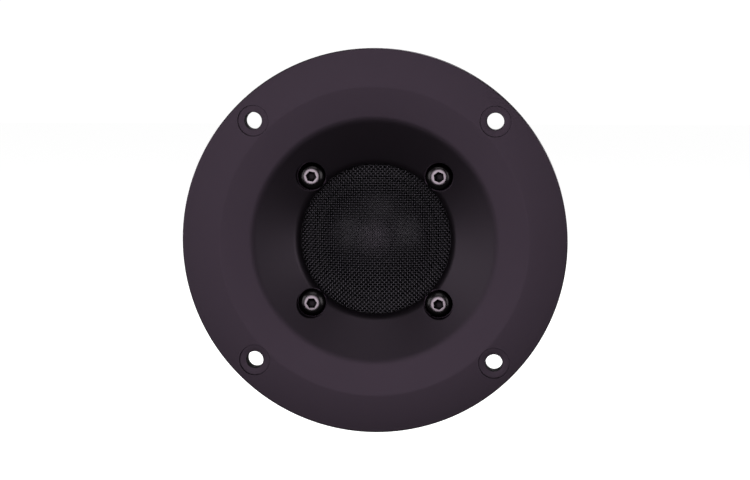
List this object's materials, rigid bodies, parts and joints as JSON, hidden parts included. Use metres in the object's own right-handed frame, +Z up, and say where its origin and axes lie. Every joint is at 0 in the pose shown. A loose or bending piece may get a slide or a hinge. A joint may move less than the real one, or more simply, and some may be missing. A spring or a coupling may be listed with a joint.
{
  "type": "dome tweeter",
  "caption": "Soft-dome tweeter with a round waveguide faceplate, woven wire grille, ferrite motor and rear chamber, for flush mounting in a panel.",
  "frame": {"origin": "centre of the panel-screw circle, in the plane of the flange's rear face", "axes": "-Y along the tweeter's axis towards the listener, +Z up, +X to the right as the face is seen"},
  "size_m": [0.104, 0.0473, 0.104],
  "materials": {
    "faceplate_paint": "satin black paint on aluminium",
    "grille_wire": "black oxidised steel wire",
    "screw_steel": "bright plated steel",
    "small_screw_steel": "zinc plated steel",
    "black_plastic": "moulded, finely textured",
    "gasket_foam": "closed-cell foam",
    "dome_cloth": "coated black silk",
    "former_foil": "thin foil",
    "copper": "bare copper",
    "terminal_brass": "brass",
    "plated_steel": "zinc plated, turned",
    "ferrite": "ground hard ferrite",
    "grey_felt": "wool felt"
  },
  "bodies": {
    "housing": {"faceplate": "faceplate_paint", "grille_mesh": "grille_wire", "grille_ring": "black_plastic", "clamp_screws": "screw_steel", "flange_gasket": "gasket_foam", "diaphragm_gasket": "gasket_foam", "diaphragm_carrier": "black_plastic", "surround": "dome_cloth", "lead_wire_positive": "copper", "lead_wire_negative": "copper", "solder_tag_positive": "terminal_brass", "solder_tag_negative": "terminal_brass", "terminal_block": "black_plastic", "terminal_positive": "terminal_brass", "terminal_negative": "terminal_brass", "terminal_screws": "small_screw_steel", "locating_dowels": "small_screw_steel", "top_plate": "plated_steel", "magnet_ring": "ferrite", "back_plate": "plated_steel", "pole_piece": "plated_steel", "pole_cap": "copper", "pole_damper": "grey_felt", "rear_chamber": "black_plastic", "chamber_gasket": "gasket_foam", "chamber_felt": "grey_felt", "chamber_screws": "small_screw_steel"},
    "diaphragm": {"dome": "dome_cloth", "coil_former": "former_foil", "voice_coil": "copper"}
  },
  "joints": [
    {"name": "diaphragm_travel", "type": "slide", "parent": "housing", "child": "diaphragm", "axis": [0, -1, 0], "range_m": [-0.0004, 0.0004], "stiffness_N_per_m": 8000, "deforming": ["surround", "lead_wire_positive", "lead_wire_negative"]}
  ]
}
